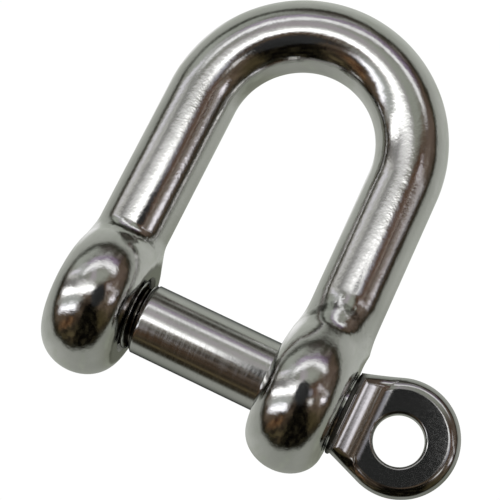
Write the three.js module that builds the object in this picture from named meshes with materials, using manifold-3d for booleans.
// Straight (dee) shackle of 10 mm round stock with a one-piece eye screw pin.
// Millimetres. X runs along the pin axis with the pin's eye at +X and the
// tapped ear at -X, Z points up from the pin to the crown, and Y is normal to
// the plane of the shackle. The dimensions are laid out about the middle of
// the jaw; the finished group is then shifted along X so that the origin is
// the centre of the pin's flat end face.
import * as THREE from 'three';
import { mergeVertices } from 'three/addons/utils/BufferGeometryUtils.js';
import { ParametricGeometry } from 'three/addons/geometries/ParametricGeometry.js';
import Module from 'manifold-3d';

const wasm = await Module();
wasm.setup();

// ---- shared dimensions ----------------------------------------------------
const EAR_X = 15.4;          // ear mid-plane
const EAR_HALF = 5.35;       // ear half thickness before its faces are dressed flat
const EAR_DRESS = 0.06;      // depth dressed off each ear face
const FACE_IN = EAR_X - EAR_HALF + EAR_DRESS;    // inner face of an ear
const FACE_OUT = EAR_X + EAR_HALF - EAR_DRESS;   // outer face of an ear
const OVERCUT = 1;           // how far a cutter runs past the faces it cuts
const ROUND_FACETS = 48;     // facets round the plain bore and the pin

// ---- solids from geometries -----------------------------------------------
// Welds a closed geometry, drops its collapsed triangles and turns it right side out.
function solid(geometry) {
  geometry.deleteAttribute('normal');
  geometry.deleteAttribute('uv');
  const welded = mergeVertices(geometry, 1e-4);
  const positions = welded.attributes.position.array;
  const corners = [new THREE.Vector3(), new THREE.Vector3(), new THREE.Vector3()];
  const triangles = [];
  let signedVolume = 0;
  for (let i = 0; i < welded.index.count; i += 3) {
    const triangle = [0, 1, 2].map((j) => welded.index.getX(i + j));
    if (new Set(triangle).size < 3) continue;
    triangles.push(triangle);
    const [a, b, c] = corners.map((corner, j) => corner.fromArray(positions, 3 * triangle[j]));
    signedVolume += a.dot(b.cross(c));
  }
  if (signedVolume < 0) triangles.forEach((triangle) => triangle.reverse());
  return new wasm.Manifold(new wasm.Mesh({
    numProp: 3,
    vertProperties: new Float32Array(positions),
    triVerts: new Uint32Array(triangles.flat()),
  }));
}

// A surface of revolution about Y from [y, radius] pairs, closed on the axis.
function lathe(profile, facets) {
  const closed = [[profile[0][0], 0], ...profile, [profile.at(-1)[0], 0]];
  return new THREE.LatheGeometry(closed.map(([y, r]) => new THREE.Vector2(r, y)), facets);
}

// A solid of revolution about X from [x, radius] pairs.
function turned(profile, facets) {
  return solid(lathe(profile, facets).rotateZ(-Math.PI / 2));
}

// Cutter profile for a hole between two faces, with a 45 degree chamfer at each.
function holeProfile(start, end, radius, chamfer) {
  const flare = radius + chamfer + OVERCUT;
  return [
    [start - OVERCUT, flare], [start + chamfer, radius],
    [end - chamfer, radius], [end + OVERCUT, flare],
  ];
}

// ---- screw thread, M10 x 1.5, right-hand ----------------------------------
const PITCH = 1.5;
const MALE_R = 4.88;         // crest radius of the pin's thread
const CORE_R = 4.0;          // root radius of the pin's thread
const TAP_R = 4.3;           // crest radius of the tapped hole
const TAP_ROOT_R = 5.15;     // root radius of the tapped hole
const CREST_HALF = 0.12;     // half width of a pin thread crest
const PLAY = 0.17;           // axial play of each flank
const FLANK = Math.tan(Math.PI / 6);
const THREAD_START = -FACE_OUT - 1.5 * PITCH;    // start of the helix pin and hole share
const RIDGE_EMBED = 0.1;     // depth a ridge is sunk into the cylinder it joins
const PIN_TURNS = 10;
const TAP_TURNS = 8.5;
const TURN_FACETS = 24;      // facets round the thread

// A right-hand helix about X. Its points lie on the axis; the frames turn, which
// keeps the section square to the radius.
class Helix extends THREE.Curve {
  constructor(turns) {
    super();
    this.turns = turns;
  }

  getPoint(t, target = new THREE.Vector3()) {
    return target.set(THREAD_START + PITCH * this.turns * t, 0, 0);
  }

  getPointAt(t, target) {
    return this.getPoint(t, target);
  }

  computeFrenetFrames(segments) {
    const frames = { tangents: [], normals: [], binormals: [] };
    for (let i = 0; i <= segments; i++) {
      const angle = (2 * Math.PI * this.turns * i) / segments;
      frames.tangents.push(new THREE.Vector3(0, -Math.sin(angle), Math.cos(angle)));
      frames.normals.push(new THREE.Vector3(0, Math.cos(angle), Math.sin(angle)));
      frames.binormals.push(new THREE.Vector3(1, 0, 0));
    }
    return frames;
  }
}

// A thread ridge on a cylinder: `topHalf` wide each way at radius `top`, widening inwards.
function threadRidge({ turns, cylinder, top, topHalf }) {
  const base = cylinder - RIDGE_EMBED;
  const baseHalf = topHalf + (top - base) * FLANK;
  const section = new THREE.Shape([
    new THREE.Vector2(base, -baseHalf), new THREE.Vector2(top, -topHalf),
    new THREE.Vector2(top, topHalf), new THREE.Vector2(base, baseHalf),
  ]);
  return solid(new THREE.ExtrudeGeometry(section, {
    steps: Math.round(turns * TURN_FACETS),
    bevelEnabled: false,
    extrudePath: new Helix(turns),
  }));
}

// ---- shackle body: outer surface ------------------------------------------
const STOCK_D = 10.0;        // bar diameter of the crown and legs
const CROWN_R = 15.25;       // crown centreline radius
const CROWN_Z = 30.9;        // crown centre above the pin axis
const FOOT_X = 15.85;        // leg centreline at the pin axis (the legs splay a little)
const SPLAY = FOOT_X - CROWN_R;
const EAR_R = 10.8;          // ear radius about the pin axis
const EAR_RIM = 4.4;         // rounding of the ear rim
const DRESS_TOP = 8;         // the ear faces are dressed below this height
const CREASE = 1.4;          // blend between a leg and its ear

// Upright boss of the bored ear: a round-ended cone, narrowed along X.
const BOSS_X = FOOT_X - 0.25;
const BOSS_NARROWING = 1.45;
const BOSS_LOW = { z: 1.5, radius: 8.8 };
const BOSS_HIGH = { z: 8.6, radius: 6.1 };
const BOSS_BLEND = 1.2;

// Smooth minimum of two distances.
function blend(a, b, width) {
  const overlap = Math.max(width - Math.abs(a - b), 0) / width;
  return Math.min(a, b) - (overlap * overlap * width) / 4;
}

// Distance to an upright cone with a ball at each end, `r` out from its axis.
function roundConeDistance(r, z, low, high) {
  const height = high.z - low.z;
  const slope = (low.radius - high.radius) / height;
  const cosine = Math.sqrt(1 - slope * slope);
  const rise = z - low.z;
  const along = cosine * rise - slope * r;
  if (along < 0) return Math.hypot(r, rise) - low.radius;
  if (along > cosine * height) return Math.hypot(r, rise - height) - high.radius;
  return cosine * r + slope * rise - low.radius;
}

// In the distances below, `across` is the distance from the jaw's middle plane.
function barDistance(across, y, z) {
  let inPlane;
  if (z > CROWN_Z) {
    inPlane = Math.abs(Math.hypot(across, z - CROWN_Z) - CROWN_R);
  } else {
    const dot = (across - CROWN_R) * SPLAY - (z - CROWN_Z) * CROWN_Z;
    const t = THREE.MathUtils.clamp(dot / (SPLAY * SPLAY + CROWN_Z * CROWN_Z), 0, 1);
    inPlane = Math.hypot(across - (CROWN_R + t * SPLAY), z - CROWN_Z * (1 - t));
  }
  return Math.hypot(inPlane, y) - STOCK_D / 2;
}

function earDistance(across, y, z) {
  const radial = Math.hypot(y, z) - (EAR_R - EAR_RIM);
  const axial = Math.abs(across - EAR_X) - (EAR_HALF - EAR_RIM);
  const outside = Math.hypot(Math.max(radial, 0), Math.max(axial, 0));
  return outside + Math.min(Math.max(radial, axial), 0) - EAR_RIM;
}

function bossDistance(across, y, z) {
  const r = Math.hypot(BOSS_NARROWING * (across - BOSS_X), y);
  return roundConeDistance(r, z, BOSS_LOW, BOSS_HIGH) / BOSS_NARROWING;
}

// Approximate signed distance to the outer surface, negative inside.
function bodyDistance(x, y, z) {
  const across = Math.abs(x);
  let ear = earDistance(across, y, z);
  if (x > 0) ear = blend(ear, bossDistance(across, y, z), BOSS_BLEND);
  const body = blend(barDistance(across, y, z), ear, CREASE);
  if (z >= DRESS_TOP) return body;
  return Math.max(body, Math.abs(across - EAR_X) - (EAR_HALF - EAR_DRESS));
}

// ---- shackle body: skin ---------------------------------------------------
const BAR_FACETS = 32;       // facets round the bar
const CROWN_STEPS = 12;      // sections from the crown's top to its springing
const SHIFT_TOP = 14;        // section centres move from the leg line to the ear's
const SHIFT_HEIGHT = 8;      // mid-plane over this height below SHIFT_TOP
const SEARCH_REACH = 20;     // farther out than any point of a section
const SEARCH_STEPS = 40;

// Heights of the level sections, from the leg down to the foot of the ear.
const SECTION_HEIGHTS = [
  25.5, 20, 17, 15.2, 14.3, 13.5, 12.8, 12.1, 11.4, 10.7, 10, 9.3, 8.6, 7.8, 6.6, 5.2,
  3.9, 2.6, 1.3, 0, -1.3, -2.6, -3.9, -5.2, -6.5, -7.6, -8.5, -9.3, -9.9, -10.3, -10.6, -10.74,
];

// Sections down one side: centre (x, z) and in-plane outward direction (outX, outZ).
function crownSection(index) {
  const angle = (Math.PI / 2) * (index / CROWN_STEPS);
  const outX = Math.sin(angle);
  const outZ = Math.cos(angle);
  return { x: CROWN_R * outX, z: CROWN_Z + CROWN_R * outZ, outX, outZ };
}

function levelSection(z) {
  const shift = THREE.MathUtils.smoothstep(SHIFT_TOP - z, 0, SHIFT_HEIGHT);
  const legX = CROWN_R + (SPLAY * (CROWN_Z - Math.max(z, 0))) / CROWN_Z;
  return { x: legX + (EAR_X - legX) * shift, z, outX: 1, outZ: 0 };
}

const sections = [
  ...Array.from({ length: CROWN_STEPS + 1 }, (_, i) => crownSection(i)),
  ...SECTION_HEIGHTS.map(levelSection),
];

// The surface point at an angle round a section, found by bisection along a ray.
function setSurfacePoint(target, { x, z, outX, outZ }, side, angle) {
  const origin = new THREE.Vector3(side * x, 0, z);
  const ray = new THREE.Vector3(
    side * outX * Math.cos(angle), Math.sin(angle), outZ * Math.cos(angle));
  let inside = 0;
  let outside = SEARCH_REACH;
  for (let i = 0; i < SEARCH_STEPS; i++) {
    const middle = (inside + outside) / 2;
    target.copy(origin).addScaledVector(ray, middle);
    if (bodyDistance(target.x, target.y, target.z) < 0) inside = middle;
    else outside = middle;
  }
  target.copy(origin).addScaledVector(ray, inside);
}

// The skin runs from the foot of the -X ear (u = 0) over the crown to that of the +X ear.
function bodySkin() {
  const footIndex = sections.length;     // each foot is a single point past the last section
  return solid(new ParametricGeometry((u, v, target) => {
    const place = (u - 0.5) * 2 * footIndex;
    const side = place < 0 ? -1 : 1;
    const index = Math.round(Math.abs(place));
    if (index >= footIndex) {
      target.set(side * EAR_X, 0, -EAR_R);
      return;
    }
    const angle = v === 1 ? 0 : v * 2 * Math.PI;
    setSurfacePoint(target, sections[index], side, angle);
  }, 2 * footIndex, BAR_FACETS));
}

// ---- shackle body: holes --------------------------------------------------
const BORE_R = 5.3;          // plain bore, +X ear
const BORE_CHAMFER = 0.4;
const SINK_R = 5.6;          // countersink of the tapped hole, -X ear

function plainBore() {
  return turned(holeProfile(FACE_IN, FACE_OUT, BORE_R, BORE_CHAMFER), ROUND_FACETS);
}

function tappedHole() {
  const drill = turned(holeProfile(-FACE_OUT, -FACE_IN, TAP_R, SINK_R - TAP_R), TURN_FACETS);
  return drill.add(threadRidge({
    turns: TAP_TURNS,
    cylinder: TAP_R,
    top: TAP_ROOT_R,
    topHalf: CREST_HALF + PLAY - (TAP_ROOT_R - MALE_R) * FLANK,
  }));
}

function shackleBody() {
  return bodySkin().subtract(plainBore()).subtract(tappedHole());
}

// ---- screw pin: thread ----------------------------------------------------
const SHOULDER_X = -8.9;     // where the plain shank ends and the thread starts
const THREAD_END = -19.3;
const LEAD_LENGTH = 0.95;    // length of the taper at the thread's end
const CREST_CLEAR = 0.08;    // the trimming envelope clears the crests by this

function pinThread() {
  const core = turned([[THREAD_START - 1, CORE_R], [SHOULDER_X + 1.5, CORE_R]], TURN_FACETS);
  const ridge = threadRidge({
    turns: PIN_TURNS, cylinder: CORE_R, top: MALE_R, topHalf: CREST_HALF,
  });
  // Trims both ends, leaving 0.6 of thread inside the shank.
  const envelope = turned([
    [THREAD_END, CORE_R], [THREAD_END + LEAD_LENGTH, MALE_R + CREST_CLEAR],
    [SHOULDER_X + 0.6, MALE_R + CREST_CLEAR],
  ], ROUND_FACETS);
  return core.add(ridge).intersect(envelope);
}

// ---- screw pin: shank, collar and eye -------------------------------------
const SHANK_R = 4.96;
const SHANK_CHAMFER = 0.3;
const COLLAR_X = FACE_OUT + 0.26;   // collar seat, just clear of the ear
const COLLAR_R = 5.75;
const COLLAR_LENGTH = 3.2;
const COLLAR_CHAMFER = 0.25;
const EYE_X = 29.2;          // centre of the eye
const EYE_R = 8.0;
const EYE_HALF = 2.5;        // half thickness of the eye
const EYE_RIM = 1.45;        // rounding of the eye's rim
const EYE_HOLE_R = 3.45;
const EYE_HOLE_CHAMFER = 0.45;
const EYE_HOLE_FACETS = 40;
const NECK_X = COLLAR_X + 0.1;      // end of the tab, inside the collar
const NECK_HALF = 5.5;       // half width of the tab at that end

// Ramps from the collar down to the eye's flats.
const RAMP_START = COLLAR_X + 0.35;
const RAMP_END = 23.1;
const RAMP_TOP = COLLAR_R + 0.2;                              // clears the collar
const RAMP_BEND = { x: COLLAR_X + 0.75, y: EYE_HALF + 0.05 }; // curve's control point
const RAMP_DEPTH = 16;       // wider than the collar, along Z

function shankAndCollar() {
  return turned([
    [SHOULDER_X, SHANK_R - SHANK_CHAMFER], [SHOULDER_X + SHANK_CHAMFER, SHANK_R],
    [COLLAR_X, SHANK_R], [COLLAR_X, COLLAR_R - COLLAR_CHAMFER],
    [COLLAR_X + COLLAR_CHAMFER, COLLAR_R], [COLLAR_X + COLLAR_LENGTH, COLLAR_R],
  ], ROUND_FACETS);
}

// The envelope that keeps the shank whole and cuts two hollow ramps on the collar.
function rampEnvelope() {
  const start = SHOULDER_X - 1;
  const end = COLLAR_X + 4;
  const outline = new THREE.Shape();
  outline.moveTo(start, -RAMP_TOP);
  outline.lineTo(RAMP_START, -RAMP_TOP);
  outline.quadraticCurveTo(RAMP_BEND.x, -RAMP_BEND.y, RAMP_END, -EYE_HALF);
  outline.lineTo(end, -EYE_HALF);
  outline.lineTo(end, EYE_HALF);
  outline.lineTo(RAMP_END, EYE_HALF);
  outline.quadraticCurveTo(RAMP_BEND.x, RAMP_BEND.y, RAMP_START, RAMP_TOP);
  outline.lineTo(start, RAMP_TOP);
  outline.closePath();
  const geometry = new THREE.ExtrudeGeometry(outline, {
    depth: RAMP_DEPTH, bevelEnabled: false, curveSegments: 6,
  });
  return solid(geometry.translate(0, 0, -RAMP_DEPTH / 2));
}

// Outline of the eye's flat face: the full outline drawn in by the rim rounding.
function eyeFaceOutline() {
  const radius = EYE_R - EYE_RIM;
  const half = NECK_HALF - EYE_RIM;
  const neckX = NECK_X + EYE_RIM;
  const reach = Math.hypot(EYE_X - neckX, half);
  const tangentAngle = Math.atan2(half, neckX - EYE_X) - Math.acos(radius / reach);
  const outline = new THREE.Shape();
  outline.absarc(EYE_X, 0, radius, -tangentAngle, tangentAngle, false);
  outline.lineTo(neckX, half);
  outline.lineTo(neckX, -half);
  outline.closePath();
  return outline;
}

// The bevel grows the face outline back to the full one.
function eyeTab() {
  const depth = 2 * (EYE_HALF - EYE_RIM);
  const geometry = new THREE.ExtrudeGeometry(eyeFaceOutline(), {
    depth, steps: 1, curveSegments: 36,
    bevelEnabled: true, bevelThickness: EYE_RIM, bevelSize: EYE_RIM, bevelSegments: 4,
  });
  return solid(geometry.translate(0, 0, -depth / 2).rotateX(Math.PI / 2));
}

function eyeHole() {
  const profile = holeProfile(-EYE_HALF, EYE_HALF, EYE_HOLE_R, EYE_HOLE_CHAMFER);
  return solid(lathe(profile, EYE_HOLE_FACETS).translate(EYE_X, 0, 0));
}

function screwPin() {
  return shankAndCollar().intersect(rampEnvelope())
    .add(pinThread()).add(eyeTab()).subtract(eyeHole());
}

// ---- lead-in point at the end of the pin ----------------------------------
const TIP_X = -20.6;         // flat end face
const TIP_R = 3.8;
const TIP_CHAMFER = 0.7;
const TIP_GAP = 0.3;         // the point stops this far short of the thread
const TIP_FACETS = 32;

function pinTip() {
  return turned([
    [TIP_X, TIP_R - TIP_CHAMFER], [TIP_X + TIP_CHAMFER, TIP_R],
    [THREAD_END - TIP_GAP, TIP_R],
  ], TIP_FACETS);
}

// ---- scene graph ----------------------------------------------------------
function part(name, shape, { color, roughness }) {
  const { vertProperties, triVerts } = shape.getMesh();
  const geometry = new THREE.BufferGeometry();
  const positions = new Float32Array(vertProperties);
  geometry.setAttribute('position', new THREE.BufferAttribute(positions, 3));
  geometry.setIndex(new THREE.BufferAttribute(new Uint32Array(triVerts), 1));
  geometry.computeVertexNormals();
  const metal = new THREE.MeshStandardMaterial({ color, metalness: 1, roughness });
  const mesh = new THREE.Mesh(geometry, metal);
  mesh.name = name;
  return mesh;
}

const pin = new THREE.Group();
pin.add(part('screw_pin', screwPin(), { color: 0xb8b8b8, roughness: 0.22 }));
pin.add(part('pin_tip', pinTip(), { color: 0xb5b5b6, roughness: 0.28 }));

const shackle = new THREE.Group();
shackle.name = 'dee_shackle';
shackle.add(part('shackle_body', shackleBody(), { color: 0xbdbdbb, roughness: 0.16 }));
shackle.add(pin);
shackle.position.set(-TIP_X, 0, 0);     // origin at the centre of the pin's end face

export default shackle;
